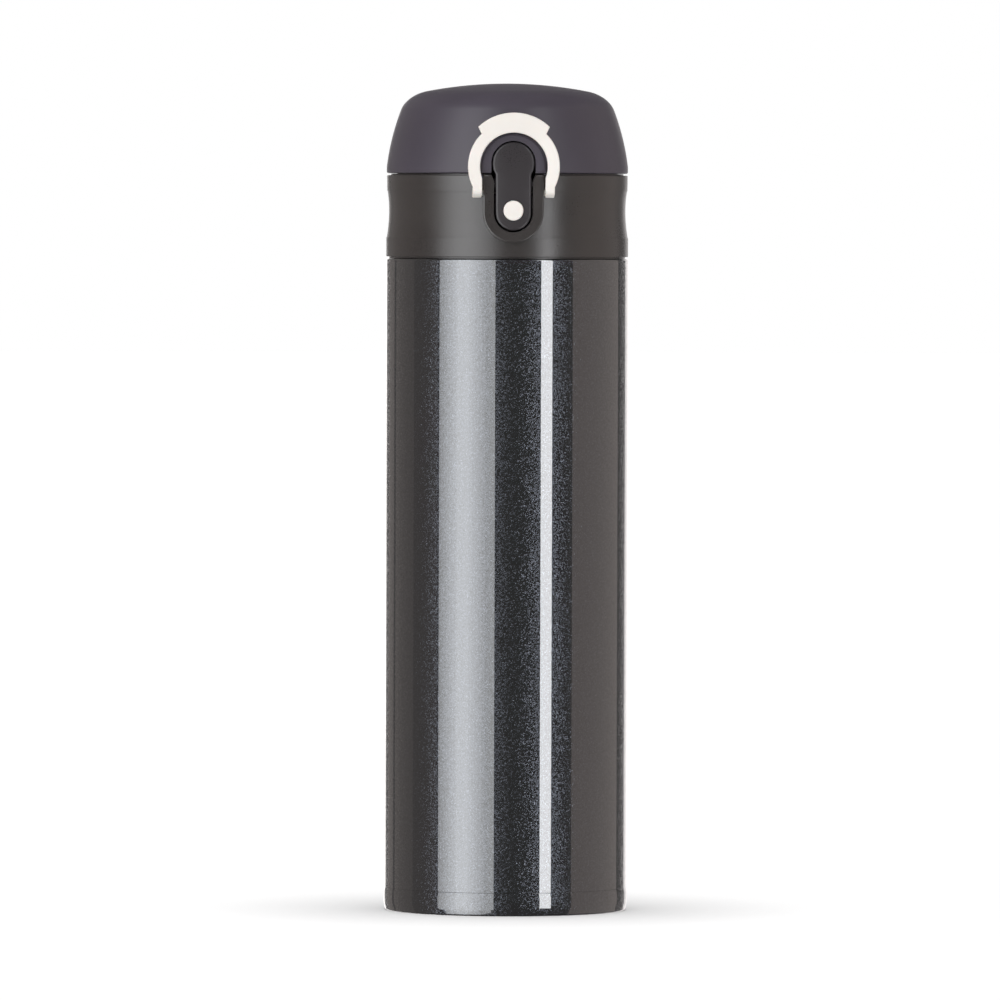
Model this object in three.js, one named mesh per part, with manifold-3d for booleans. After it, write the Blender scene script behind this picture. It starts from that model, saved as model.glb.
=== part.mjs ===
// A vacuum flask with a screw-on cap unit, a hinged lid, a rocking release button and a folding safety ring.
// Millimetres, +Z up. The origin is the centre of the base, where the flask stands.
// The button faces -Y and the lid hinge is at +Y.

import * as THREE from 'three';
import { mergeVertices } from 'three/addons/utils/BufferGeometryUtils.js';
import Module from 'manifold-3d';

const wasm = await Module();
wasm.setup();

// ---- Driving dimensions ----

const OUTER_SIDES = 36; // facets round the outer pieces
const INNER_SIDES = 24; // facets round the hidden pieces
const GAP = 0.3; // clearance between neighbouring pieces

// Steel body
const SHELL_R = 32.5;
const SHELL_WALL = 0.4;
const SHELL_TOP = 175; // the flat shoulder under the collar
const STEP_R = 28.4; // the raised step inside the collar's lip
const STEP_TOP = 176.2;
const BASE_R = 32.75;
const BASE_TOP = 5.4;
const VESSEL_R = 30.2;
const VESSEL_WALL = 0.4;
const VESSEL_BOTTOM = 9;
const VESSEL_SHOULDER = 162.6; // where the wall ends and the shoulder starts
const MOUTH_R = 22; // clear radius of the mouth
const NECK_R = 24.5;
const NECK_TOP = 189.5;

// Screw thread of the cap unit
const THREAD_LEAD = 5;
const THREAD_TURNS = 1.25;
const THREAD_RIDGE_R = 1;
const THREAD_START = 180.5; // height of the neck's ridge where it starts
const THREAD_DROP = 1.75; // how far the cap's ridge lies under the neck's ridge
const SKIRT_INNER_R = 26;
const SKIRT_R = 27.6;

// Cap unit
const DECK_BOTTOM = 190;
const DECK_TOP = 192;
const COLLAR_BOTTOM = 175.5;
const COLLAR_TOP = 197.35;
const COLLAR_INNER_R = 30.4;
const LIP_INNER_R = 29; // the lip that centres the collar on the body
const LIP_R = 30.6;
const LIP_BOTTOM = 175.3;
const SPOUT_Y = -5.5;
const SPOUT_BORE_R = 9;
const SPOUT_TOP = 208;

// Lid
const LID_BOTTOM = 197.85;
const LID_TOP = 222;
const HINGE_Y = 33.6;
const HINGE_Z = 197.85;
const KNUCKLE_R = 2.8;
const COLLAR_KNUCKLES = [8.2, 12]; // from and to, on both sides of the middle
const LID_KNUCKLE_HALF = 7.9; // the lid's knuckle is one barrel across the middle
const PIN_R = 0.8;
const PIN_HOLE_R = PIN_R + GAP;

// Front boss, button and safety ring
const BOSS_FRONT = -34.3;
const BOSS_BACK = -30.6;
const LID_BOSS_R = 8.6;
const RING_CENTRE_Z = 199.6;
const BUTTON_FRONT = -34.1;
const BUTTON_THICKNESS = 2;
const BUTTON_HEAD_R = 5.6;
const BUTTON_HEAD_Z = 200.5;
const BUTTON_NECK_R = 4.7;
const BUTTON_FOOT_Z = 187.3;
const HEAD_CLEARANCE = 0.3;
const NECK_CLEARANCE = 0.5;
const BUTTON_PIVOT_Y = -31.4;
const BUTTON_PIVOT_Z = 194.8;
const DOT_R = 2.68;
const DOT_Z = 187.9;
const RING_INNER_R = 9;
const RING_OUTER_R = 12.2;
const RING_BACK = -34.6;
const RING_THICKNESS = 1.8;
const RING_PIVOT_Y = -32.7;
const RING_PIVOT_Z = 192.6;

// ---- Shape helpers ----

const X_AXIS = new THREE.Vector3(1, 0, 0);
const Y_AXIS = new THREE.Vector3(0, 1, 0);
const Z_AXIS = new THREE.Vector3(0, 0, 1);
const FROM_SIDE_VIEW = new THREE.Matrix4().makeBasis(Y_AXIS, Z_AXIS, X_AXIS);

// Turns a closed geometry into a solid that can be joined and cut.
function toSolid(geometry) {
  const bare = geometry.clone();
  bare.deleteAttribute('normal');
  bare.deleteAttribute('uv');
  const merged = mergeVertices(bare, 1e-4);
  const positions = merged.getAttribute('position');
  const index = merged.getIndex().array;
  const corners = [0, 1, 2].map(() => new THREE.Vector3());
  const triangles = [];
  let volume = 0;
  for (let i = 0; i < index.length; i += 3) {
    const [a, b, c] = index.slice(i, i + 3);
    if (a === b || b === c || c === a) {
      continue;
    }
    triangles.push([a, b, c]);
    corners[0].fromBufferAttribute(positions, a);
    corners[1].fromBufferAttribute(positions, b);
    corners[2].fromBufferAttribute(positions, c);
    volume += corners[0].dot(corners[1].cross(corners[2]));
  }
  const outward = volume > 0 ? triangles : triangles.map(([a, b, c]) => [a, c, b]);
  const mesh = new wasm.Mesh({
    numProp: 3,
    vertProperties: new Float32Array(positions.array),
    triVerts: new Uint32Array(outward.flat()),
  });
  return new wasm.Manifold(mesh);
}

function toGeometry(solid) {
  const mesh = solid.getMesh();
  const geometry = new THREE.BufferGeometry();
  geometry.setAttribute('position', new THREE.BufferAttribute(new Float32Array(mesh.vertProperties), 3));
  geometry.setIndex(new THREE.BufferAttribute(new Uint32Array(mesh.triVerts), 1));
  geometry.computeVertexNormals();
  return geometry;
}

// A solid turned about Z from [radius, height] pairs. A ring's profile closes on itself.
function turned(profile, sides, isRing = false) {
  const points = profile.map(([radius, height]) => new THREE.Vector2(radius, height));
  if (isRing) {
    points.push(points[0].clone());
  }
  const geometry = new THREE.LatheGeometry(points, sides);
  geometry.rotateX(Math.PI / 2);
  return toSolid(geometry);
}

const ring = (profile, sides) => turned(profile, sides, true);

// A plate drawn in the front view (x, z) between two depths along Y.
function frontPlate(shape, front, back, curveSegments, bevel = 0) {
  const geometry = new THREE.ExtrudeGeometry(shape, {
    depth: back - front - 2 * bevel,
    bevelEnabled: bevel > 0,
    bevelThickness: bevel,
    bevelSize: bevel,
    bevelOffset: -bevel,
    bevelSegments: 1,
    curveSegments,
  });
  geometry.rotateX(Math.PI / 2);
  geometry.translate(0, back - bevel, 0);
  return toSolid(geometry);
}

// A bar drawn in the side view (y, z) between two places along X.
function sideBar(shape, from, to) {
  const options = { depth: to - from, bevelEnabled: false, curveSegments: 8 };
  const geometry = new THREE.ExtrudeGeometry(shape, options);
  geometry.applyMatrix4(FROM_SIDE_VIEW);
  geometry.translate(from, 0, 0);
  return toSolid(geometry);
}

function polygon(points) {
  return new THREE.Shape(points.map(([across, up]) => new THREE.Vector2(across, up)));
}

// A round bar along X through (y, z).
function crossPin(radius, from, to, y, z, sides) {
  const geometry = new THREE.CylinderGeometry(radius, radius, to - from, sides);
  geometry.rotateZ(Math.PI / 2);
  geometry.translate((from + to) / 2, y, z);
  return toSolid(geometry);
}

function box(low, high) {
  const size = low.map((value, i) => high[i] - value);
  const middle = low.map((value, i) => (high[i] + value) / 2);
  const geometry = new THREE.BoxGeometry(...size);
  geometry.translate(...middle);
  return toSolid(geometry);
}

const join = (solids) => solids.reduce((whole, solid) => whole.add(solid));
const cut = (whole, tools) => tools.reduce((rest, tool) => rest.subtract(tool), whole);

class Helix extends THREE.Curve {
  constructor(radius, start, lead, turns) {
    super();
    this.radius = radius;
    this.start = start;
    this.lead = lead;
    this.turns = turns;
  }

  getPoint(t, target = new THREE.Vector3()) {
    const angle = t * this.turns * 2 * Math.PI;
    const height = this.start + t * this.turns * this.lead;
    return target.set(this.radius * Math.cos(angle), this.radius * Math.sin(angle), height);
  }
}

// A round wire or ridge that follows a curve.
function wire(curve, radius, steps, sides) {
  const section = new THREE.Shape();
  for (let i = 0; i < sides; i += 1) {
    const angle = (i / sides) * 2 * Math.PI;
    const x = radius * Math.cos(angle);
    const y = radius * Math.sin(angle);
    if (i === 0) {
      section.moveTo(x, y);
    } else {
      section.lineTo(x, y);
    }
  }
  section.closePath();
  return new THREE.ExtrudeGeometry(section, { steps, extrudePath: curve, bevelEnabled: false });
}

function threadRidge(radius, start) {
  const curve = new Helix(radius, start, THREAD_LEAD, THREAD_TURNS);
  return toSolid(wire(curve, THREAD_RIDGE_R, Math.round(THREAD_TURNS * 26), 8));
}

// ---- Steel body ----

function makeOuterShell() {
  const inner = SHELL_R - SHELL_WALL;
  const spigot = SHELL_R - 0.6;
  const shoulderHole = NECK_R + 0.5;
  return ring(
    [
      [SHELL_R, BASE_TOP + GAP],
      [SHELL_R, SHELL_TOP - 0.4],
      [SHELL_R - 0.1, SHELL_TOP - 0.1],
      [SHELL_R - 0.4, SHELL_TOP],
      [STEP_R, SHELL_TOP],
      [STEP_R, STEP_TOP - 0.3],
      [STEP_R - 0.3, STEP_TOP],
      [shoulderHole, STEP_TOP],
      [shoulderHole, STEP_TOP - SHELL_WALL],
      [STEP_R - SHELL_WALL, STEP_TOP - SHELL_WALL],
      [STEP_R - SHELL_WALL, SHELL_TOP - SHELL_WALL],
      [SHELL_R - 0.8, SHELL_TOP - SHELL_WALL],
      [inner, SHELL_TOP - 0.8],
      [inner, BASE_TOP + 1],
      [spigot - SHELL_WALL, BASE_TOP + 0.4],
      [spigot - SHELL_WALL, BASE_TOP - 1],
      [spigot, BASE_TOP - 1],
      [spigot, BASE_TOP + GAP],
    ],
    OUTER_SIDES,
  );
}

const CUP_PLATE_BOTTOM = 3.2;
const CUP_WALL = 0.5;
const PUMP_HOLE_R = 1.6;
const RECESS_R = 26.4;
const COVER_BOTTOM = 1.2;
const COVER_THICKNESS = 0.6;

function makeBaseCup() {
  const inner = BASE_R - CUP_WALL + 0.05;
  return ring(
    [
      [BASE_R, BASE_TOP],
      [BASE_R, 0.7],
      [BASE_R - 0.2, 0.2],
      [BASE_R - 0.7, 0],
      [RECESS_R + 1, 0],
      [RECESS_R, 0.6],
      [RECESS_R, CUP_PLATE_BOTTOM],
      [PUMP_HOLE_R, CUP_PLATE_BOTTOM],
      [PUMP_HOLE_R, CUP_PLATE_BOTTOM + CUP_WALL],
      [RECESS_R + 0.7, CUP_PLATE_BOTTOM + CUP_WALL],
      [RECESS_R + 0.9, CUP_WALL],
      [BASE_R - 1.1, CUP_WALL],
      [inner, 1.1],
      [inner, BASE_TOP],
    ],
    OUTER_SIDES,
  );
}

function makeBaseDisc() {
  const top = COVER_BOTTOM + COVER_THICKNESS;
  const edge = RECESS_R - 0.4;
  return turned(
    [[0, COVER_BOTTOM], [edge - 0.3, COVER_BOTTOM], [edge, COVER_BOTTOM + 0.3], [edge, top], [0, top]],
    32,
  );
}

function makeVacuumSealPlug() {
  const headBottom = COVER_BOTTOM + COVER_THICKNESS + GAP;
  const headTop = CUP_PLATE_BOTTOM - GAP;
  const stemTop = CUP_PLATE_BOTTOM + 1;
  const stemR = PUMP_HOLE_R - GAP;
  return turned(
    [[0, headBottom], [3.5, headBottom], [3.5, headTop], [stemR, headTop], [stemR, stemTop], [0, stemTop]],
    16,
  );
}

function makeThreadedNeck() {
  const inner = MOUTH_R + VESSEL_WALL + 0.35;
  const tube = ring(
    [
      [NECK_R, SHELL_TOP - 1.6],
      [NECK_R, NECK_TOP - 0.3],
      [NECK_R - 0.3, NECK_TOP],
      [MOUTH_R + 0.3, NECK_TOP],
      [MOUTH_R, NECK_TOP - 0.3],
      [MOUTH_R, NECK_TOP - 0.6],
      [inner, NECK_TOP - 0.6],
      [inner, SHELL_TOP - 1.6],
    ],
    OUTER_SIDES,
  );
  return tube.add(threadRidge(NECK_R, THREAD_START));
}

// The inner vessel is a dished bottom, a straight wall and a shoulder with its neck, welded together.
function makeInnerBottom() {
  const low = VESSEL_BOTTOM;
  const seam = low + 3.6;
  return turned(
    [
      [0, low],
      [22, low],
      [27.6, low + 2],
      [28.4, seam],
      [27.9, seam],
      [27.2, low + 2.4],
      [21.8, low + VESSEL_WALL],
      [0, low + VESSEL_WALL],
    ],
    INNER_SIDES,
  );
}

function makeInnerWall() {
  const low = VESSEL_BOTTOM + 3.6 + GAP;
  const inner = VESSEL_R - VESSEL_WALL;
  return ring(
    [
      [28.6, low],
      [VESSEL_R, VESSEL_BOTTOM + 7],
      [VESSEL_R, VESSEL_SHOULDER],
      [inner, VESSEL_SHOULDER],
      [inner, VESSEL_BOTTOM + 7.2],
      [28.1, low],
    ],
    INNER_SIDES,
  );
}

function makeInnerNeck() {
  const low = VESSEL_SHOULDER + GAP;
  const inner = VESSEL_R - VESSEL_WALL;
  const neck = MOUTH_R + VESSEL_WALL;
  const neckTop = NECK_TOP - 0.9;
  return ring(
    [
      [VESSEL_R, low],
      [VESSEL_R - 1.2, 166.6],
      [neck + 1.4, 171],
      [neck, 173.6],
      [neck, neckTop],
      [MOUTH_R, neckTop],
      [MOUTH_R, 173.4],
      [neck + 0.9, 170.4],
      [inner - 1.2, 166.3],
      [inner, low],
    ],
    INNER_SIDES,
  );
}

function makeReflectiveFoil() {
  const inner = VESSEL_R + 0.5;
  const outer = inner + 0.15;
  return ring([[inner, 16], [outer, 16], [outer, 162], [inner, 162]], INNER_SIDES);
}

function makeGetter() {
  const top = VESSEL_BOTTOM - GAP;
  return turned(
    [[0, top - 1.6], [3.4, top - 1.6], [3.4, top - 0.6], [4.4, top - 0.4], [4.4, top], [0, top]],
    16,
  );
}

// ---- Cap unit ----

const PLUG_TUBE_R = 19.4;
const PLUG_TUBE_INNER_R = 16.6;
const PLUG_TUBE_BOTTOM = 183.4;
const PLUG_LIP_R = 20.8;
const PLUG_LIP_TOP = 184.2;

function makeStopperGasket() {
  const inner = PLUG_TUBE_R + GAP;
  const lip = MOUTH_R - 0.4;
  return ring(
    [
      [inner, PLUG_LIP_TOP + GAP],
      [lip - 0.7, PLUG_LIP_TOP + GAP],
      [lip, PLUG_LIP_TOP + 1.5],
      [lip - 0.8, PLUG_LIP_TOP + 2.3],
      [lip, PLUG_LIP_TOP + 3.5],
      [lip - 0.8, PLUG_LIP_TOP + 4.3],
      [lip - 0.5, DECK_BOTTOM - GAP],
      [inner, DECK_BOTTOM - GAP],
    ],
    INNER_SIDES,
  );
}

const SPOUT_SPIGOT_R = 10.6;

function makeStopperBody() {
  const flange = SKIRT_R + 1;
  const body = turned(
    [
      [0, DECK_BOTTOM],
      [PLUG_TUBE_INNER_R, DECK_BOTTOM],
      [PLUG_TUBE_INNER_R, PLUG_TUBE_BOTTOM],
      [PLUG_LIP_R, PLUG_TUBE_BOTTOM],
      [PLUG_LIP_R, PLUG_LIP_TOP],
      [PLUG_TUBE_R, PLUG_LIP_TOP],
      [PLUG_TUBE_R, DECK_BOTTOM],
      [SKIRT_INNER_R, DECK_BOTTOM],
      [SKIRT_INNER_R, COLLAR_BOTTOM + 1.1],
      [SKIRT_R, COLLAR_BOTTOM + 1.1],
      [SKIRT_R, DECK_TOP - 1.4],
      [flange, DECK_TOP - 1.4],
      [flange, DECK_TOP],
      [0, DECK_TOP],
    ],
    OUTER_SIDES,
  );
  const holeR = SPOUT_SPIGOT_R + 0.35;
  const spoutHole = turned(
    [[0, DECK_BOTTOM - 1], [holeR, DECK_BOTTOM - 1], [holeR, DECK_TOP + 1], [0, DECK_TOP + 1]],
    INNER_SIDES,
  ).translate(0, SPOUT_Y, 0);
  return body.add(threadRidge(SKIRT_INNER_R, THREAD_START - THREAD_DROP)).subtract(spoutHole);
}

function makeSpout() {
  const flangeBottom = DECK_TOP + 1.3;
  const flangeR = 13.4;
  return ring(
    [
      [SPOUT_BORE_R, DECK_BOTTOM + 0.4],
      [SPOUT_SPIGOT_R, DECK_BOTTOM + 0.4],
      [SPOUT_SPIGOT_R, flangeBottom],
      [flangeR, flangeBottom],
      [flangeR, flangeBottom + 1.3],
      [11.4, flangeBottom + 2.3],
      [11, SPOUT_TOP - 1.4],
      [10.6, SPOUT_TOP - 0.3],
      [10, SPOUT_TOP],
      [9.4, SPOUT_TOP - 0.3],
      [SPOUT_BORE_R, SPOUT_TOP - 1.2],
    ],
    INNER_SIDES,
  ).translate(0, SPOUT_Y, 0);
}

function makeSpoutGasket() {
  const low = DECK_TOP + GAP;
  const high = DECK_TOP + 1;
  const inner = SPOUT_SPIGOT_R + 0.6;
  return ring([[inner, low], [13, low], [13, high], [inner, high]], INNER_SIDES).translate(0, SPOUT_Y, 0);
}

// The waisted band round the collar, from its lower edge line to its upper one.
function collarProfile() {
  const waist = new THREE.QuadraticBezierCurve(
    new THREE.Vector2(32.4, 180.5),
    new THREE.Vector2(31.25, 187.4),
    new THREE.Vector2(32.2, 193.2),
  );
  return [
    [LIP_INNER_R, LIP_BOTTOM],
    [LIP_R, LIP_BOTTOM],
    [LIP_R, COLLAR_BOTTOM],
    [SHELL_R - 0.2, COLLAR_BOTTOM],
    [SHELL_R, COLLAR_BOTTOM + 0.2],
    ...waist.getPoints(5).map((point) => [point.x, point.y]),
    [32.3, COLLAR_TOP - 0.4],
    [32, COLLAR_TOP],
    [COLLAR_INNER_R, COLLAR_TOP],
    [COLLAR_INNER_R, COLLAR_BOTTOM + 2.5],
    [LIP_INNER_R, COLLAR_BOTTOM + 1.5],
  ];
}

function collarBossShape() {
  const top = COLLAR_TOP;
  const radius = 7.75;
  const shape = new THREE.Shape();
  shape.moveTo(8.1, top);
  shape.lineTo(-8.1, top);
  shape.lineTo(-radius, 187.8);
  shape.absarc(0, 187.8, radius, Math.PI, 2 * Math.PI, false);
  shape.closePath();
  return shape;
}

// The slot that the button's neck rocks in, open at the top.
function buttonSlotShape() {
  const half = BUTTON_NECK_R + NECK_CLEARANCE;
  const shape = new THREE.Shape();
  shape.moveTo(half, COLLAR_TOP + 2);
  shape.lineTo(-half, COLLAR_TOP + 2);
  shape.lineTo(-half, BUTTON_FOOT_Z);
  shape.absarc(0, BUTTON_FOOT_Z, half, Math.PI, 2 * Math.PI, false);
  shape.closePath();
  return shape;
}

// Both members of a left and right pair of bars along X.
function crossPinPair(radius, [from, to], y, z, sides) {
  return [crossPin(radius, from, to, y, z, sides), crossPin(radius, -to, -from, y, z, sides)];
}

const PIVOT_PIN_HALF = 6.8;
const STUD_R = 0.8;
const STUD_REACH = 7.2; // how close to the middle the safety ring's studs come

function makeCollarShell() {
  const [from, to] = COLLAR_KNUCKLES;
  const ledge = ring([[29, 188.6], [30.8, 188.6], [30.8, 190], [29, 190]], OUTER_SIDES);
  const boss = frontPlate(collarBossShape(), BOSS_FRONT, BOSS_BACK, 12, 0.3);
  const knuckleRelief = crossPin(KNUCKLE_R + 0.35, -from + 0.1, from - 0.1, HINGE_Y, HINGE_Z, 20);
  const brackets = [
    box([from, 30.8, 190.5], [to, HINGE_Y + 0.6, HINGE_Z]),
    box([-to, 30.8, 190.5], [-from, HINGE_Y + 0.6, HINGE_Z]),
  ];
  const solid = join([
    ring(collarProfile(), OUTER_SIDES).add(ledge).add(boss).subtract(knuckleRelief),
    ...brackets,
    ...crossPinPair(KNUCKLE_R, COLLAR_KNUCKLES, HINGE_Y, HINGE_Z, 20),
  ]);
  const pivotHole = PIVOT_PIN_HALF + GAP;
  return cut(solid, [
    frontPlate(buttonSlotShape(), BOSS_FRONT - 2, -27, 12),
    crossPin(PIN_HOLE_R, -pivotHole, pivotHole, BUTTON_PIVOT_Y, BUTTON_PIVOT_Z, 12),
    ...crossPinPair(STUD_R + GAP, [STUD_REACH - GAP, 9.5], RING_PIVOT_Y, RING_PIVOT_Z, 12),
    crossPin(PIN_HOLE_R, -to + 0.6, to - 0.6, HINGE_Y, HINGE_Z, 12),
  ]);
}

function makeHingePin() {
  const half = COLLAR_KNUCKLES[1] - 0.9;
  return crossPin(PIN_R, -half, half, HINGE_Y, HINGE_Z, 12);
}

function makeButtonPivotPin() {
  return crossPin(PIN_R, -PIVOT_PIN_HALF, PIVOT_PIN_HALF, BUTTON_PIVOT_Y, BUTTON_PIVOT_Z, 12);
}

const SPRING_WIRE_R = 0.3;
const SPRING_COIL_R = 1.6;
const SPRING_HALF = 3.6;

function makeLidSpring() {
  const turns = 6;
  const coil = new Helix(SPRING_COIL_R, -SPRING_HALF, (2 * SPRING_HALF) / turns, turns);
  const geometry = wire(coil, SPRING_WIRE_R, 60, 5);
  geometry.applyMatrix4(FROM_SIDE_VIEW);
  geometry.translate(0, HINGE_Y, HINGE_Z);
  return toSolid(geometry);
}

function makeButtonSpring() {
  const length = 2.9;
  const turns = 4;
  const coil = new Helix(1.6, 0, length / turns, turns);
  const geometry = wire(coil, 0.22, 32, 5);
  geometry.rotateX(-Math.PI / 2);
  geometry.translate(0, -31.5, 186.6);
  return toSolid(geometry);
}

// ---- Button ----

function buttonShape() {
  const shape = new THREE.Shape();
  const shoulder = Math.acos(BUTTON_NECK_R / BUTTON_HEAD_R);
  shape.moveTo(-BUTTON_NECK_R, BUTTON_FOOT_Z);
  shape.absarc(0, BUTTON_FOOT_Z, BUTTON_NECK_R, Math.PI, 2 * Math.PI, false);
  shape.absarc(0, BUTTON_HEAD_Z, BUTTON_HEAD_R, -shoulder, Math.PI + shoulder, false);
  shape.closePath();
  return shape;
}

function makeReleaseButton() {
  const back = BUTTON_FRONT + BUTTON_THICKNESS;
  const plate = frontPlate(buttonShape(), BUTTON_FRONT, back, 12, 0.5);
  const barrel = crossPin(2, -BUTTON_NECK_R + 0.1, BUTTON_NECK_R - 0.1, BUTTON_PIVOT_Y, BUTTON_PIVOT_Z, 16);
  const hookSide = polygon([
    [back - 0.5, 201.2],
    [back + 0.6, 202.3],
    [-29.9, 202.3],
    [-29.9, 203.6],
    [-30.7, 204.6],
    [back - 0.5, 204.6],
  ]);
  const pocket = new THREE.CylinderGeometry(DOT_R + GAP, DOT_R + GAP, 3, 20);
  pocket.translate(0, BUTTON_FRONT, DOT_Z);
  return cut(join([plate, barrel, sideBar(hookSide, -2.8, 2.8)]), [
    toSolid(pocket),
    crossPin(PIN_HOLE_R, -6, 6, BUTTON_PIVOT_Y, BUTTON_PIVOT_Z, 12),
  ]);
}

function makeButtonDot() {
  const geometry = new THREE.CylinderGeometry(DOT_R, DOT_R, 1.3, 20);
  geometry.translate(0, BUTTON_FRONT + 0.55, DOT_Z);
  return toSolid(geometry);
}

// ---- Safety ring ----

const RING_LEG = [8.45, 10.9]; // inner and outer side of each leg

function ringShape() {
  const [legIn, legOut] = RING_LEG;
  const legBottom = RING_PIVOT_Z + 1;
  const centre = RING_CENTRE_Z;
  const tabR = 13.8;
  const tabZ = 200.1;
  const tabAngle = Math.acos(9.5 / tabR);
  const notch = Math.acos(8.6 / RING_OUTER_R);
  const legJoin = -Math.acos(legOut / RING_OUTER_R);
  const shape = new THREE.Shape();
  shape.moveTo(legIn, legBottom);
  shape.lineTo(legOut, legBottom);
  shape.absarc(0, centre, RING_OUTER_R, legJoin, notch, false);
  shape.absarc(0, tabZ, tabR, tabAngle, Math.PI - tabAngle, false);
  shape.absarc(0, centre, RING_OUTER_R, Math.PI - notch, Math.PI - legJoin, false);
  shape.lineTo(-legOut, legBottom);
  shape.lineTo(-legIn, legBottom);
  const innerStart = Math.PI + Math.acos(legIn / RING_INNER_R);
  shape.absarc(0, centre, RING_INNER_R, innerStart, Math.PI - innerStart, true);
  shape.closePath();
  return shape;
}

// The side view of a leg: from the ring's plane back and down to the pivot.
function ringLugShape() {
  const front = RING_BACK - RING_THICKNESS;
  const lugR = 1.3;
  const shape = new THREE.Shape();
  shape.moveTo(front, RING_PIVOT_Z + 3.4);
  shape.lineTo(front, RING_PIVOT_Z + 0.4);
  shape.lineTo(RING_PIVOT_Y - 3, RING_PIVOT_Z - 0.5);
  shape.absarc(RING_PIVOT_Y, RING_PIVOT_Z, lugR, 1.3 * Math.PI, 2.35 * Math.PI, false);
  shape.lineTo(RING_BACK, RING_PIVOT_Z + 3.4);
  shape.closePath();
  return shape;
}

function makeLockRing() {
  const [legIn, legOut] = RING_LEG;
  return join([
    frontPlate(ringShape(), RING_BACK - RING_THICKNESS, RING_BACK, 9, 0.25),
    sideBar(ringLugShape(), legIn, legOut),
    sideBar(ringLugShape(), -legOut, -legIn),
    ...crossPinPair(STUD_R, [STUD_REACH, legIn + 0.5], RING_PIVOT_Y, RING_PIVOT_Z, 12),
  ]);
}

// ---- Lid ----

// The dome: a shallow crown, a round corner and a gently bulging side.
function domeCurve(crownZ, crownEnd, cornerEnd, sideEnd, bulge, divisions) {
  const path = new THREE.Path();
  path.moveTo(0, crownZ);
  path.quadraticCurveTo(crownEnd[0] / 2, crownZ, ...crownEnd);
  const ease = [crownEnd[0] + 3.5, crownEnd[1] - 0.65];
  const lead = [cornerEnd[0] - 0.85, cornerEnd[1] + 2.2];
  path.bezierCurveTo(...ease, ...lead, ...cornerEnd);
  path.quadraticCurveTo(...bulge, ...sideEnd);
  return path.getPoints(divisions).map((point) => [point.x, point.y]);
}

function lidBossShape() {
  const radius = LID_BOSS_R;
  const shape = new THREE.Shape();
  shape.moveTo(-radius, LID_BOTTOM);
  shape.lineTo(radius, LID_BOTTOM);
  shape.absarc(0, RING_CENTRE_Z, radius, 0, Math.PI, false);
  shape.closePath();
  return shape;
}

// The arched window that takes the button's head, open at the bottom.
function headWindowShape() {
  const radius = BUTTON_HEAD_R + HEAD_CLEARANCE;
  const shape = new THREE.Shape();
  shape.moveTo(-radius, LID_BOTTOM - 2);
  shape.lineTo(radius, LID_BOTTOM - 2);
  shape.absarc(0, BUTTON_HEAD_Z, radius, 0, Math.PI, false);
  shape.closePath();
  return shape;
}

function makeLidShell() {
  const outside = turned(
    [
      ...domeCurve(LID_TOP, [21.5, 219.95], [28.5, 214.9], [32.4, 199.6], [31.35, 207.5], 4),
      [32.4, LID_BOTTOM + 0.4],
      [32, LID_BOTTOM],
      [0, LID_BOTTOM],
    ],
    OUTER_SIDES,
  );
  const hollow = turned(
    [
      ...domeCurve(219.9, [20.3, 218.1], [26.7, 213.9], [30.6, 199.6], [29.55, 207.1], 3),
      [30.6, LID_BOTTOM - 1],
      [0, LID_BOTTOM - 1],
    ],
    OUTER_SIDES,
  );
  const [reliefFrom, reliefTo] = COLLAR_KNUCKLES;
  const relief = [reliefFrom - 0.2, reliefTo + GAP];
  const shell = cut(outside.add(frontPlate(lidBossShape(), BOSS_FRONT, -26, 12, 0.3)), [
    hollow,
    frontPlate(headWindowShape(), BOSS_FRONT - 2, -26, 12),
    ...crossPinPair(KNUCKLE_R + 0.35, relief, HINGE_Y, HINGE_Z, 20),
  ]);
  const half = LID_KNUCKLE_HALF;
  const chamber = SPRING_HALF + 0.6;
  const knuckle = join([
    box([-half, 31.1, HINGE_Z + 0.1], [half, HINGE_Y, HINGE_Z + KNUCKLE_R]),
    crossPin(KNUCKLE_R, -half, half, HINGE_Y, HINGE_Z, 20),
  ]);
  return cut(shell.add(knuckle), [
    crossPin(PIN_HOLE_R, -half - 1, half + 1, HINGE_Y, HINGE_Z, 12),
    crossPin(SPRING_COIL_R + SPRING_WIRE_R + GAP, -chamber, chamber, HINGE_Y, HINGE_Z, 20),
    box([-chamber, 30, HINGE_Z - KNUCKLE_R], [chamber, HINGE_Y - 0.5, HINGE_Z]),
  ]);
}

const LINER_PLATE = 214.5;
const LINER_BOTTOM = 195.6; // inside the collar, which hides the seam under the lid

// The catch is the sill of the window in the liner's front wall.
function makeLidLiner() {
  const liner = turned(
    [
      [0, LINER_PLATE],
      [22.4, LINER_PLATE],
      [25.2, 211.6],
      [27, 207],
      [28.2, 202.8],
      [28.2, LINER_BOTTOM],
      [29.6, LINER_BOTTOM],
      [29.6, 202.6],
      [28.4, 207.6],
      [26.5, 212.4],
      [23.4, LINER_PLATE + 1.3],
      [0, LINER_PLATE + 1.3],
    ],
    OUTER_SIDES,
  );
  return cut(liner, [
    box([-3.5, -31, 201.8], [3.5, -25, 206.2]),
    box([-5.4, -31, LINER_BOTTOM - 1], [5.4, -25, LID_BOTTOM + 0.6]),
  ]);
}

const HOLDER_R = 8.6;
const SEAL_R = 12.9;

function makeGasketHolder() {
  const top = LINER_PLATE - GAP;
  const flangeBottom = SPOUT_TOP + 3.3;
  const bottom = SPOUT_TOP + 1.5;
  return turned(
    [
      [0, bottom],
      [HOLDER_R, bottom],
      [HOLDER_R, flangeBottom],
      [SEAL_R, flangeBottom],
      [SEAL_R, top],
      [0, top],
    ],
    INNER_SIDES,
  ).translate(0, SPOUT_Y, 0);
}

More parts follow.
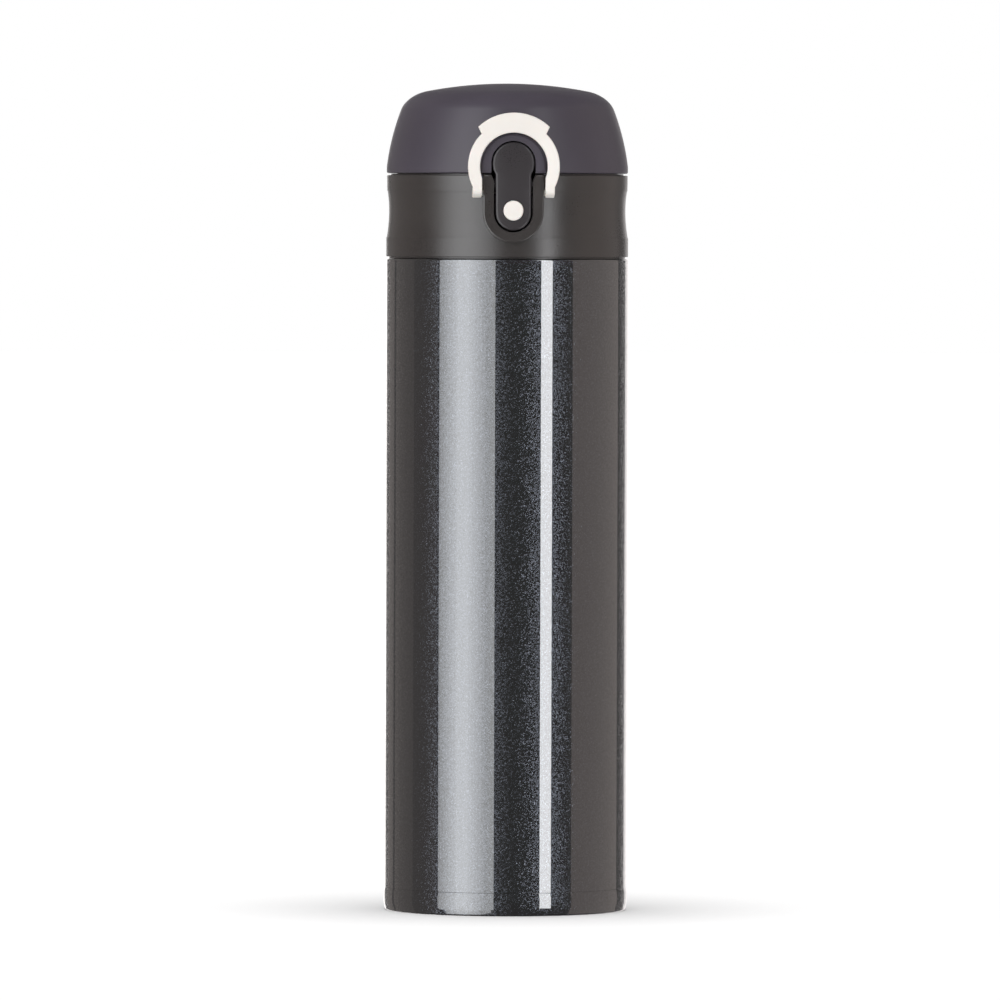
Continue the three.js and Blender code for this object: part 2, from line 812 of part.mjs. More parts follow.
function makeLidGasket() {
  const face = SPOUT_TOP + GAP;
  const plugBottom = SPOUT_TOP - 2.4;
  return turned(
    [
      [0, plugBottom],
      [6.6, plugBottom],
      [7.4, plugBottom + 0.8],
      [7.7, face],
      [SEAL_R - 0.4, face],
      [SEAL_R, face + 0.4],
      [SEAL_R, face + 2.7],
      [HOLDER_R + GAP, face + 2.7],
      [HOLDER_R + GAP, face + 0.9],
      [0, face + 0.9],
    ],
    INNER_SIDES,
  ).translate(0, SPOUT_Y, 0);
}

// ---- Assembly ----

function paint(color, roughness, metalness) {
  return new THREE.MeshStandardMaterial({ color, roughness, metalness });
}

const steelBody = [
  ['outer_shell', makeOuterShell, paint(0x2b2d30, 0.28, 0.7)],
  ['base_cup', makeBaseCup, paint(0x2b2d30, 0.28, 0.7)],
  ['base_disc', makeBaseDisc, paint(0xb9babb, 0.35, 1)],
  ['vacuum_seal_plug', makeVacuumSealPlug, paint(0x9a9b9c, 0.4, 1)],
  ['threaded_neck', makeThreadedNeck, paint(0xc2c3c4, 0.25, 1)],
  ['inner_bottom', makeInnerBottom, paint(0xc8c9ca, 0.3, 1)],
  ['inner_wall', makeInnerWall, paint(0xc8c9ca, 0.3, 1)],
  ['inner_neck', makeInnerNeck, paint(0xc8c9ca, 0.3, 1)],
  ['reflective_foil', makeReflectiveFoil, paint(0xd9dadb, 0.3, 1)],
  ['getter', makeGetter, paint(0x6d6e70, 0.6, 0.8)],
];

const capUnit = [
  ['stopper_gasket', makeStopperGasket, paint(0xd9d7d2, 0.6, 0)],
  ['stopper_body', makeStopperBody, paint(0x3a3635, 0.5, 0)],
  ['collar_shell', makeCollarShell, paint(0x3e3836, 0.45, 0)],
  ['spout', makeSpout, paint(0x3b3736, 0.4, 0)],
  ['spout_gasket', makeSpoutGasket, paint(0xd9d7d2, 0.6, 0)],
  ['hinge_pin', makeHingePin, paint(0xbfc0c1, 0.25, 1)],
  ['lid_spring', makeLidSpring, paint(0xa9aaab, 0.3, 1)],
  ['button_pivot_pin', makeButtonPivotPin, paint(0xbfc0c1, 0.25, 1)],
  ['button_spring', makeButtonSpring, paint(0xa9aaab, 0.3, 1)],
];

const releaseButton = [
  ['release_button', makeReleaseButton, paint(0x3d3a3d, 0.45, 0)],
  ['button_dot', makeButtonDot, paint(0xf3efeb, 0.5, 0)],
];

const safetyRing = [['lock_ring', makeLockRing, paint(0xf3efeb, 0.5, 0)]];

const hingedLid = [
  ['lid_shell', makeLidShell, paint(0x4f4952, 0.6, 0)],
  ['lid_liner', makeLidLiner, paint(0x3a3635, 0.5, 0)],
  ['gasket_holder', makeGasketHolder, paint(0x3a3635, 0.5, 0)],
  ['lid_gasket', makeLidGasket, paint(0xd9d7d2, 0.6, 0)],
];

const flask = new THREE.Group();
for (const pieces of [steelBody, capUnit, releaseButton, safetyRing, hingedLid]) {
  const group = new THREE.Group();
  for (const [name, make, material] of pieces) {
    const mesh = new THREE.Mesh(toGeometry(make()), material);
    mesh.name = name;
    group.add(mesh);
  }
  flask.add(group);
}

export default flask;
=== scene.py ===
"""The looks of a vacuum flask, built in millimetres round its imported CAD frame."""

from math import acos, atan2, ceil, cos, pi, radians, sin, tan

import bmesh
import bpy
from mathutils import Matrix, Vector


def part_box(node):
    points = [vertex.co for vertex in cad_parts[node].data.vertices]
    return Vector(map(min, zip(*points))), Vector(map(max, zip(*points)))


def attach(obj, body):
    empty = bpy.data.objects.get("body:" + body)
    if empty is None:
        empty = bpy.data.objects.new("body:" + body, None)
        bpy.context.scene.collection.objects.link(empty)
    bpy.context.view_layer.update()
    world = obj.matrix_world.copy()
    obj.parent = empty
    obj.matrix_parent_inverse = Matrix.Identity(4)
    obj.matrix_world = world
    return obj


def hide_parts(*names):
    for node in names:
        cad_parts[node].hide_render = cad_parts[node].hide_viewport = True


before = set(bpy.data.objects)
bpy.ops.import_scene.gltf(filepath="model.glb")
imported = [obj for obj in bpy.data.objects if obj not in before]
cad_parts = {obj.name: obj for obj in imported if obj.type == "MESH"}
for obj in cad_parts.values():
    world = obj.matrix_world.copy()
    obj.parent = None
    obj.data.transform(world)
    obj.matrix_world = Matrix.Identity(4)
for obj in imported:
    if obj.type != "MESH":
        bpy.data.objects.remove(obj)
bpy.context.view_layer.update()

MM = 0.001
FINE_ROUND = 192  # sides of the large outer pieces
ROUND = 144  # sides of a turned piece that doesn't say otherwise
SMALL_ROUND = 96  # sides of the spout, the seals and what fits them
TINY_ROUND = 48  # sides of the plug and the getter
HOLE_SIDES = 24  # sides of pin holes and studs
SHARP = radians(38)  # edges above this angle stay crisp


def box_mm(node):
    """The corners of a CAD node, in millimetres."""
    low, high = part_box(node)
    return low / MM, high / MM


# ---- Sizes ----

shell_high = box_mm("outer_shell")[1]
cup_high = box_mm("base_cup")[1]
neck_low, neck_high = box_mm("threaded_neck")
ring_low, ring_high = box_mm("lock_ring")
lid_low, lid_high = box_mm("lid_shell")
collar_high = box_mm("collar_shell")[1]
button_low = box_mm("release_button")[0]
dot_low, dot_high = box_mm("button_dot")
spout_low, spout_high = box_mm("spout")

SHELL_R = shell_high.x
SHELL_TOP = shell_high.z
SHELL_SHOULDER = 175
STEP_R = 28.4
CUP_R = cup_high.x
CUP_TOP = cup_high.z + 0.8  # the seam shows 0.8 mm above the CAD solids' split
NECK_R = 24.5
NECK_TOP = neck_high.z
MOUTH_R = 22
BOSS_FRONT = lid_low.y
COLLAR_BOSS_BACK = -30.6
LID_BOSS_BACK = -26
SLOT_BACK = -27
LID_TOP = lid_high.z
LID_BOTTOM = 197.85
COLLAR_TOP = 197.35
COLLAR_BOTTOM = 175.5
HINGE_Y = 33.6
HINGE_Z = 197.85
KNUCKLE_R = collar_high.y - HINGE_Y
KNUCKLE_GAP = 0.35
COLLAR_KNUCKLES = (8.2, 12)
LID_KNUCKLE_HALF = 7.9
PIN_R = 0.8
PIN_HOLE_R = 1.1
BUTTON_FRONT = button_low.y
BUTTON_PIVOT = (-31.4, 194.8)
DOT_R = dot_high.x
DOT_Z = (dot_low.z + dot_high.z) / 2
RING_PIVOT = (-32.7, 192.6)
RING_CENTRE_Z = 199.6
RING_LEG = (8.45, 10.9)
HEAD_Z = 200.5  # centre of the button's round head
FOOT_Z = 187.3  # centre of its round foot
RIM_CHAMFER = 0.12
SPOUT_Y = (spout_low.y + spout_high.y) / 2
SPOUT_TOP = spout_high.z
DECK_BOTTOM = 190
DECK_TOP = 192
THREAD_LEAD = 5
THREAD_TURNS = 1.25
THREAD_START = 180.5
THREAD_DROP = 1.75


# ---- Outlines ----


def filleted(corners, closed=False, steps=5):
    """Rounds the corners of an outline. Each corner is (across, up) or (across, up, radius)."""
    outline = []
    count = len(corners)
    for i, corner in enumerate(corners):
        here = Vector(corner[:2])
        radius = corner[2] if len(corner) > 2 else 0
        if not radius or (not closed and i in (0, count - 1)):
            outline.append(here)
            continue
        before = Vector(corners[i - 1][:2]) - here
        after = Vector(corners[(i + 1) % count][:2]) - here
        half = before.angle(after) / 2
        reach = min(radius / tan(half), before.length * 0.49, after.length * 0.49)
        inward = (before.normalized() + after.normalized()).normalized()
        centre = here + inward * (reach / cos(half))
        spoke = here + before.normalized() * reach - centre
        last = here + after.normalized() * reach - centre
        turn = atan2(spoke.x * last.y - spoke.y * last.x, spoke.dot(last))
        for k in range(steps + 1):
            outline.append(centre + Matrix.Rotation(turn * k / steps, 2) @ spoke)
    return outline


def arc(x, y, radius, start, end, steps=24):
    """Points round a circle from one angle to another, in radians."""
    angles = [start + (end - start) * k / steps for k in range(steps + 1)]
    return [Vector((x + radius * cos(a), y + radius * sin(a))) for a in angles]


def bezier(points, steps):
    """A quadratic or cubic curve through its first and last control points."""
    curve = []
    for k in range(steps + 1):
        t = k / steps
        level = [Vector(p) for p in points]
        while len(level) > 1:
            level = [a.lerp(b, t) for a, b in zip(level, level[1:])]
        curve.append(level[0])
    return curve


def tidy(outline, closed):
    """Drops points that lie on top of the one before."""
    kept = []
    for point in outline:
        if not kept or (point - kept[-1]).length > 1e-4:
            kept.append(point)
    if closed and (kept[0] - kept[-1]).length < 1e-4:
        kept.pop()
    return kept


def dense(outline, longest, closed=False):
    """Splits stretches that are longer than the given length."""
    points = []
    ends = outline[1:] + ([outline[0]] if closed else [])
    for a, b in zip(outline, ends):
        pieces = max(1, ceil((b - a).length / longest))
        points += [a.lerp(b, k / pieces) for k in range(pieces)]
    return points if closed else points + [outline[-1]]


def inset(outline, distance):
    """A closed outline, anticlockwise, moved inwards by the same distance all round."""
    moved = []
    count = len(outline)
    for i, here in enumerate(outline):
        before = (here - outline[i - 1]).normalized()
        after = (outline[(i + 1) % count] - here).normalized()
        left = Vector((-before.y, before.x))
        right = Vector((-after.y, after.x))
        moved.append(here + (left + right) * distance / max(0.35, 1 + left.dot(right)))
    return moved


# ---- Solids ----


def make_object(name, vertices, faces):
    """A mesh object from points in millimetres. The faces of a closed one point out."""
    mesh = bpy.data.meshes.new(name)
    mesh.from_pydata([Vector(v) * MM for v in vertices], [], faces)
    shape = bmesh.new()
    shape.from_mesh(mesh)
    bmesh.ops.remove_doubles(shape, verts=shape.verts, dist=1e-7)
    bmesh.ops.recalc_face_normals(shape, faces=shape.faces)
    if shape.calc_volume(signed=True) < 0:
        bmesh.ops.reverse_faces(shape, faces=shape.faces)
    shape.to_mesh(mesh)
    shape.free()
    made = bpy.data.objects.new(name, mesh)
    bpy.context.scene.collection.objects.link(made)
    return made


def turned(name, profile, closed=False, sides=ROUND, centre=(0, 0), longest=None):
    """A solid turned about a vertical axis. An open profile starts and ends on the axis."""
    profile = tidy([Vector(p[:2]) for p in profile], closed)
    if longest:
        profile = dense(profile, longest, closed)
    vertices = []
    rings = []
    for point in profile:
        if point.x < 1e-6:
            rings.append([len(vertices)])
            vertices.append((centre[0], centre[1], point.y))
            continue
        rings.append(list(range(len(vertices), len(vertices) + sides)))
        for k in range(sides):
            angle = 2 * pi * k / sides
            vertices.append((centre[0] + point.x * sin(angle), centre[1] - point.x * cos(angle), point.y))
    faces = []
    for low, high in zip(rings, rings[1:] + ([rings[0]] if closed else [])):
        for k in range(sides):
            after = (k + 1) % sides
            corners = [low[k % len(low)], low[after % len(low)], high[after % len(high)], high[k % len(high)]]
            unique = list(dict.fromkeys(corners))
            if len(unique) > 2:
                faces.append(unique)
    return make_object(name, vertices, faces)


def stacked(name, layers, place):
    """A solid skinned over outlines of equal length. place turns (across, up, depth) into a point."""
    count = len(layers[0][0])
    vertices = [place(p.x, p.y, depth) for outline, depth in layers for p in outline]
    faces = [list(range(count)), list(range(len(vertices) - count, len(vertices)))]
    for layer in range(len(layers) - 1):
        base = layer * count
        for k in range(count):
            after = (k + 1) % count
            faces.append([base + k, base + after, base + count + after, base + count + k])
    return make_object(name, vertices, faces)


def rounded_layers(outline, start, end, start_round, end_round, steps=4):
    """Layers of a plate whose two outer edges are rounded by these radii."""
    angles = [pi / 2 * k / steps for k in range(steps + 1)]
    layers = []
    if start_round:
        for a in angles:
            layers.append((inset(outline, start_round * (1 - sin(a))), start + start_round * (1 - cos(a))))
    else:
        layers.append((outline, start))
    if end_round:
        for a in angles:
            layers.append((inset(outline, end_round * (1 - cos(a))), end - end_round * (1 - sin(a))))
    else:
        layers.append((outline, end))
    return layers


def plate(name, outline, front, back, front_round=0, back_round=0, steps=5):
    """A plate drawn in the front view (x, z), between two depths along Y."""
    outline = tidy(outline, True)
    layers = rounded_layers(outline, front, back, front_round, back_round, steps)
    return stacked(name, layers, lambda across, up, depth: (across, depth, up))


def shouldered(name, outline, front, back, width, depth, crown_width=0, crown=0):
    """A plate whose front face may be crowned, and falls away gently before its rounded edge."""
    outline = tidy(outline, True)
    layers = []
    crown_steps = 6 if crown else 0
    for k in range(crown_steps):
        across = 1 - k / crown_steps
        reach = width + (crown_width - width) * across
        layers.append((inset(outline, reach), front + crown * (1 - across) ** 2))
    steps = [(1, 0), (0.93, 0.02), (0.8, 0.1), (0.24, 0.52), (0.1, 0.68), (0.02, 0.86), (0, 1)]
    layers += [(inset(outline, width * across), front + crown + depth * fall) for across, fall in steps]
    return stacked(name, [*layers, (outline, back)], lambda across, up, along: (across, along, up))


def bar(name, outline, start, end, edge_round=0):
    """A bar drawn in the side view (y, z), between two places along X."""
    outline = tidy(outline, True)
    layers = rounded_layers(outline, start, end, edge_round, edge_round)
    return stacked(name, layers, lambda across, up, depth: (depth, across, up))


def rod(name, radius, start, end, y, z, edge_round=0, sides=40):
    """A round bar along X."""
    return bar(name, arc(y, z, radius, 0, 2 * pi, sides), start, end, edge_round)


def block(name, low, high, edge_round=0.3):
    """A box with rounded corners in the side view."""
    corners = [(low[1], low[2]), (high[1], low[2]), (high[1], high[2]), (low[1], high[2])]
    outline = filleted([(*corner, edge_round) for corner in corners], closed=True, steps=3)
    return bar(name, outline, low[0], high[0], 0)


def coil(name, radius, wire, start, lead, turns, per_turn, sides=12, taper=0, place=None):
    """A wire or ridge along a helix about Z. Its ends thin out over taper turns."""
    steps = round(turns * per_turn)
    vertices = []
    for i in range(steps + 1):
        turn = turns * i / steps
        angle = 2 * pi * turn
        outward = Vector((cos(angle), sin(angle), 0))
        along = Vector((-sin(angle) * 2 * pi * radius, cos(angle) * 2 * pi * radius, lead)).normalized()
        across = along.cross(outward)
        middle = outward * radius + Vector((0, 0, start + lead * turn))
        end = min(turn, turns - turn)
        size = wire * (1 if not taper else max(0.12, min(1, sin(pi / 2 * min(1, end / taper)))))
        for k in range(sides):
            phase = 2 * pi * k / sides
            vertices.append(middle + (outward * cos(phase) + across * sin(phase)) * size)
    if place:
        vertices = [place(v) for v in vertices]
    faces = [list(range(sides)), list(range(steps * sides, (steps + 1) * sides))]
    for i in range(steps):
        for k in range(sides):
            after = (k + 1) % sides
            faces.append([i * sides + k, i * sides + after, (i + 1) * sides + after, (i + 1) * sides + k])
    return make_object(name, vertices, faces)


def combine(target, tools, operation):
    """Joins tools to the target, or cuts them out of it, and removes the tools."""
    for tool in tools:
        change = target.modifiers.new(operation.lower(), "BOOLEAN")
        change.operation = operation
        change.solver = "MANIFOLD"
        change.object = tool
    bpy.context.view_layer.update()
    evaluated = target.evaluated_get(bpy.context.evaluated_depsgraph_get())
    mesh = bpy.data.meshes.new_from_object(evaluated)
    target.modifiers.clear()
    old = target.data
    target.data = mesh
    bpy.data.meshes.remove(old)
    for tool in tools:
        bpy.data.objects.remove(tool)
    return target


def joined(target, *tools):
    return combine(target, tools, "UNION")


def carved(target, *tools):
    return combine(target, tools, "DIFFERENCE")


def pair(make, *spans):
    """The same bar on both sides of the middle: make(name, start, end) at each mirrored span."""
    bars = []
    for start, end in spans:
        bars.append(make("tool_right", start, end))
        bars.append(make("tool_left", -end, -start))
    return bars


def finished(piece, body, slot, material, *nodes, weighted=True):
    """Smooths a piece, gives it its material and hands it to its body in place of CAD nodes."""
    mesh = piece.data
    mesh.polygons.foreach_set("use_smooth", [True] * len(mesh.polygons))
    mesh.set_sharp_from_angle(angle=SHARP)
    mesh.materials.clear()
    mesh.materials.append(material)
    if weighted:
        normals = piece.modifiers.new("weighted_normals", "WEIGHTED_NORMAL")
        normals.keep_sharp = True
    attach(piece, body)
    if nodes:
        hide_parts(*nodes)
    return piece


# ---- Materials ----


class Surface:
    """A Principled material with helpers for procedural detail in object space."""

    def __init__(self, name, roughness, metallic=0.0, **sockets):
        self.material = bpy.data.materials.new(name)
        self.material.use_nodes = True
        self.nodes = self.material.node_tree.nodes
        self.links = self.material.node_tree.links
        self.shader = self.nodes["Principled BSDF"]
        self.place = self.nodes.new("ShaderNodeTexCoord").outputs["Object"]
        self.set("Roughness", roughness)
        self.set("Metallic", metallic)
        for socket, value in sockets.items():
            self.set(socket.replace("_", " "), value)

    def set(self, socket, value):
        self.shader.inputs[socket].default_value = value

    def link(self, output, socket):
        self.links.new(output, self.shader.inputs[socket])

    def noise(self, per_mm, detail, place=None):
        node = self.nodes.new("ShaderNodeTexNoise")
        node.inputs["Scale"].default_value = per_mm / MM
        node.inputs["Detail"].default_value = detail
        self.links.new(place or self.place, node.inputs["Vector"])
        return node.outputs["Fac"]

    def cells(self, per_mm, output="Color"):
        node = self.nodes.new("ShaderNodeTexVoronoi")
        node.inputs["Scale"].default_value = per_mm / MM
        self.links.new(self.place, node.inputs["Vector"])
        return node.outputs[output]

    def scaled(self, x, y, z):
        """Object coordinates stretched along each axis."""
        node = self.nodes.new("ShaderNodeMapping")
        node.inputs["Scale"].default_value = (x, y, z)
        self.links.new(self.place, node.inputs["Vector"])
        return node.outputs["Vector"]

    def operate(self, kind, operation, values):
        node = self.nodes.new(kind)
        node.operation = operation
        for socket, value in zip(node.inputs, values):
            if isinstance(value, bpy.types.NodeSocket):
                self.links.new(value, socket)
            else:
                socket.default_value = value
        return node

    def math(self, operation, *values):
        return self.operate("ShaderNodeMath", operation, values).outputs["Value"]

    def vector(self, operation, *values):
        return self.operate("ShaderNodeVectorMath", operation, values).outputs["Vector"]

    def between(self, factor, low, high):
        """A number that runs from low to high as the factor runs from 0.3 to 0.7."""
        node = self.nodes.new("ShaderNodeMapRange")
        node.inputs["From Min"].default_value = 0.3
        node.inputs["From Max"].default_value = 0.7
        node.inputs["To Min"].default_value = low
        node.inputs["To Max"].default_value = high
        self.links.new(factor, node.inputs["Value"])
        return node.outputs["Result"]

    def colours(self, factor, *stops):
        """A colour ramp of (position, (r, g, b)) stops."""
        ramp = self.nodes.new("ShaderNodeValToRGB")
        elements = ramp.color_ramp.elements
        while len(elements) < len(stops):
            elements.new(0.5)
        for element, (position, colour) in zip(elements, stops):
            element.position = position
            element.color = (*colour, 1)
        self.links.new(factor, ramp.inputs["Fac"])
        return ramp.outputs["Color"]

    def bump(self, height, depth_mm, target="Normal"):
        node = self.nodes.new("ShaderNodeBump")
        node.inputs["Distance"].default_value = depth_mm * MM
        self.links.new(height, node.inputs["Height"])
        self.link(node.outputs["Normal"], target)


def body_paint():
    """Blue-black paint with metal flakes that tilt each their own way, under a clear gloss coat."""
    tilt = 0.26
    surface = Surface("body_paint", 0.15, 1.0, Coat_Weight=1.0, Coat_Roughness=0.02, Coat_IOR=2.1)
    flakes = surface.cells(5.0)
    lean = surface.vector("ADD", flakes, surface.cells(4.1))
    split = surface.nodes.new("ShaderNodeSeparateColor")
    surface.links.new(flakes, split.inputs["Color"])
    flake_colour = surface.colours(
        split.outputs["Blue"],
        (0.0, (0.030, 0.032, 0.036)),
        (0.8, (0.046, 0.049, 0.057)),
        (1.0, (0.085, 0.092, 0.108)),
    )
    surface.link(flake_colour, "Base Color")
    normal = surface.nodes.new("ShaderNodeNewGeometry").outputs["Normal"]
    centred = surface.vector("SUBTRACT", lean, (1, 1, 1))
    tilted = surface.vector("MULTIPLY_ADD", centred, (tilt, tilt, tilt), normal)
    surface.link(surface.vector("NORMALIZE", tilted), "Normal")
    surface.bump(surface.noise(0.5, 2), 0.002, target="Coat Normal")
    return surface.material


def moulded(name, dark, light, roughness, grain_per_mm=3.0, grain_mm=0.006, spread=0.06, **sockets):
    """Moulded plastic: a faint drift in tone, a spark-eroded grain and an uneven sheen."""
    surface = Surface(name, roughness, 0.0, **sockets)
    drift = surface.noise(0.05, 3)
    surface.link(surface.colours(drift, (0.35, dark), (0.65, light)), "Base Color")
    grain = surface.noise(grain_per_mm, 5)
    sheen = surface.math("ADD", surface.math("MULTIPLY", drift, 0.5), surface.math("MULTIPLY", grain, 0.5))
    surface.link(surface.between(sheen, roughness - spread, roughness + spread), "Roughness")
    surface.bump(grain, grain_mm)
    return surface.material


def turned_steel(name, tone, roughness):
    """Steel with fine marks that run round the axis."""
    surface = Surface(name, roughness, 1.0, Anisotropic=0.5)
    marks = surface.noise(6.0, 6, surface.scaled(0.03, 0.03, 1.0))
    drift = surface.noise(0.08, 3)
    low = tuple(c * 0.82 for c in tone)
    mixed = surface.math("MULTIPLY_ADD", marks, 0.6, surface.math("MULTIPLY", drift, 0.4))
    surface.link(surface.colours(mixed, (0.3, low), (0.7, tone)), "Base Color")
    surface.link(surface.between(marks, roughness - 0.06, roughness + 0.1), "Roughness")
    surface.bump(marks, 0.004)
    return surface.material


def wire_steel():
    """Drawn spring wire with a slight blueing and long draw marks."""
    surface = Surface("spring_steel", 0.28, 1.0)
    blue = surface.noise(0.6, 3)
    surface.link(surface.colours(blue, (0.35, (0.36, 0.36, 0.38)), (0.65, (0.52, 0.51, 0.50))), "Base Color")
    surface.link(surface.between(surface.noise(8.0, 3), 0.2, 0.38), "Roughness")
    surface.bump(surface.noise(9.0, 2), 0.003)
    return surface.material


def foil():
    """Bright foil with pressed wrinkles."""
    surface = Surface("foil", 0.22, 1.0)
    wrinkles = surface.cells(0.35, "Distance")
    tone = surface.colours(surface.noise(0.2, 4), (0.3, (0.74, 0.75, 0.77)), (0.7, (0.9, 0.9, 0.91)))
    surface.link(tone, "Base Color")
    surface.link(surface.between(surface.noise(1.0, 3), 0.16, 0.34), "Roughness")
    surface.bump(wrinkles, 0.12)
    return surface.material


def sintered():
    """The getter's dull, grainy metal."""
    surface = Surface("getter_metal", 0.7, 0.7)
    grain = surface.cells(4.0, "Distance")
    surface.link(surface.colours(grain, (0.0, (0.08, 0.08, 0.085)), (0.6, (0.2, 0.2, 0.21))), "Base Color")
    surface.link(surface.between(grain, 0.6, 0.85), "Roughness")
    surface.bump(grain, 0.05)
    return surface.material


def silicone():
    """Milky silicone rubber with a soft, slightly dusty skin."""
    surface = Surface("silicone", 0.5, 0.0, Subsurface_Weight=0.25, Subsurface_Scale=0.002)
    surface.set("Subsurface Radius", (1.0, 0.9, 0.75))
    cloud = surface.noise(0.15, 4)
    surface.link(surface.colours(cloud, (0.35, (0.60, 0.59, 0.56)), (0.65, (0.70, 0.69, 0.66))), "Base Color")
    surface.link(surface.between(surface.noise(1.5, 4), 0.42, 0.6), "Roughness")
    surface.bump(surface.noise(4.0, 3), 0.004)
    return surface.material


PAINT = body_paint()
STEEL = turned_steel("bare_steel", (0.62, 0.62, 0.63), 0.26)
SPRING = wire_steel()
FOIL = foil()
GETTER = sintered()
SILICONE = silicone()
LID = moulded("lid_plastic", (0.036, 0.030, 0.040), (0.0415, 0.0345, 0.0465), 0.44, 2.6, 0.010, 0.05,
              Specular_IOR_Level=0.5, Sheen_Weight=0.06, Sheen_Roughness=0.4)
COLLAR = moulded("collar_plastic", (0.0155, 0.0125, 0.0115), (0.0195, 0.0155, 0.014), 0.32, 2.2, 0.02, 0.08,
                 Specular_IOR_Level=0.8, Sheen_Weight=0.07, Sheen_Roughness=0.4)
BUTTON = moulded("button_plastic", (0.0225, 0.0195, 0.021), (0.0275, 0.024, 0.0258), 0.3, 3.0, 0.008, 0.06,
                 Specular_IOR_Level=0.5)
INNER = moulded("inner_plastic", (0.010, 0.009, 0.009), (0.014, 0.012, 0.012), 0.38, 3.5, 0.004, 0.05,
                Specular_IOR_Level=0.3)
CREAM = moulded("cream_plastic", (0.562, 0.531, 0.495), (0.599, 0.567, 0.531), 0.45, 2.4, 0.004, 0.05,
                Subsurface_Weight=0.08, Subsurface_Scale=0.001)


# ---- What the lights reach ----

NOT_THE_FLOOR = bpy.data.collections.new("not_the_floor")
NOT_THE_FOOT = bpy.data.collections.new("not_the_foot")
THE_FLOOR = bpy.data.collections.new("the_floor")


def exclude(piece, collection):
    """Keeps a piece out of the light of the lamps that are linked to this collection."""
    collection.objects.link(piece)
    collection.collection_objects[-1].light_linking.link_state = "EXCLUDE"


# ---- Steel body ----


def make_body_shell():
    wall = 0.4
    hole = NECK_R + 0.5
    tongue = SHELL_R - 0.6  # reaches down behind the cup's edge
    profile = filleted(
        [
            (SHELL_R, CUP_TOP, 0.03),
            (SHELL_R, SHELL_SHOULDER, 0.45),
            (STEP_R, SHELL_SHOULDER, 0.2),
            (STEP_R, SHELL_TOP, 0.4),
            (hole, SHELL_TOP, 0.15),
            (hole, SHELL_TOP - wall, 0.15),
            (STEP_R - wall, SHELL_TOP - wall, 0.2),
            (STEP_R - wall, SHELL_SHOULDER - wall, 0.2),
            (SHELL_R - wall, SHELL_SHOULDER - wall, 0.3),
            (SHELL_R - wall, CUP_TOP + 1, 0.3),
            (tongue - wall, CUP_TOP + 0.3, 0.3),
            (tongue - wall, CUP_TOP - 1),
            (tongue, CUP_TOP - 1),
            (tongue, CUP_TOP),
        ],
        closed=True,
    )
    shell = turned("body_shell", profile, closed=True, sides=FINE_ROUND, longest=12)
    return finished(shell, "bottle", "body_paint", PAINT, "outer_shell")


def make_bottom_cup():
    """Its foot leans in, and the low ends of the front lights skip it: their reflections end there."""
    wall = 0.5
    recess_r = 26.4
    plate_z = 3.2
    profile = filleted(
        [
            (CUP_R, CUP_TOP - 1.6, 40),
            (CUP_R - 0.09, 1.9, 8),
            (CUP_R - 0.42, 0, 0.5),
            (recess_r, 0, 0.6),
            (recess_r, plate_z, 0.3),
            (1.6, plate_z),
            (1.6, plate_z + wall),
            (recess_r + wall, plate_z + wall, 0.3),
            (recess_r + wall + 0.2, wall, 0.4),
            (CUP_R - wall - 0.45, wall, 0.4),
            (SHELL_R - 0.3, CUP_TOP),
            (SHELL_R + 0.02, CUP_TOP, 0.13),
        ],
        closed=True,
    )
    cup = turned("bottom_cup", profile, closed=True, sides=FINE_ROUND)
    exclude(cup, NOT_THE_FOOT)
    return finished(cup, "bottle", "body_paint", PAINT, "base_cup")


def make_bottom_disc():
    """The cover plate under the base, with a shallow pressed ring."""
    low, high = box_mm("base_disc")
    edge = high.x
    profile = filleted(
        [
            (0, low.z + 0.2),
            (15, low.z + 0.2, 1),
            (16, low.z + 0.02, 1),
            (18, low.z + 0.02, 1),
            (19, low.z + 0.2, 1),
            (edge, low.z + 0.2, 0.2),
            (edge, high.z, 0.1),
            (0, high.z),
        ]
    )
    disc = turned("bottom_disc", profile, sides=SMALL_ROUND)
    return finished(disc, "bottle", "bare_steel", STEEL, "base_disc")


def make_seal_plug():
    low, high = box_mm("vacuum_seal_plug")
    head_r, stem_r, head_top = 3.5, 1.3, 2.9
    head = [(0, low.z), (head_r, low.z, 0.3), (head_r, head_top, 0.2)]
    stem = [(stem_r, head_top), (stem_r, high.z, 0.3), (0, high.z)]
    profile = filleted(head + stem)
    plug = turned("seal_plug", profile, sides=TINY_ROUND)
    return finished(plug, "bottle", "bare_steel", STEEL, "vacuum_seal_plug")


def make_getter():
    low, high = box_mm("getter")
    profile = filleted([(0, low.z), (3.4, low.z, 0.3), (3.4, high.z - 0.6, 0.2), (4.4, high.z - 0.4, 0.1),
                        (4.4, high.z, 0.15), (0, high.z)])
    piece = turned("getter_pill", profile, sides=TINY_ROUND)
    return finished(piece, "bottle", "getter_metal", GETTER, "getter")


def make_foil():
    low, high = box_mm("reflective_foil")
    outer = high.x
    inner = outer - 0.1
    profile = [(outer, low.z), (outer, high.z), (inner, high.z), (inner, low.z)]
    wrap = turned("foil_wrap", profile, closed=True, sides=SMALL_ROUND, longest=20)
    return finished(wrap, "bottle", "bright_foil", FOIL, "reflective_foil")


def make_neck():
    inner = 22.9
    profile = filleted(
        [
            (NECK_R, neck_low.z),
            (NECK_R, NECK_TOP, 0.4),
            (MOUTH_R, NECK_TOP, 0.3),
            (MOUTH_R, NECK_TOP - 0.6, 0.2),
            (inner, NECK_TOP - 0.6),
            (inner, neck_low.z),
        ],
        closed=True,
    )
    neck = turned("screw_neck", profile, closed=True, sides=ROUND, longest=2)
    ridge = coil("neck_ridge", NECK_R, 1, THREAD_START, THREAD_LEAD, THREAD_TURNS, 72, taper=0.08)
    return finished(joined(neck, ridge), "bottle", "bare_steel", STEEL, "threaded_neck")


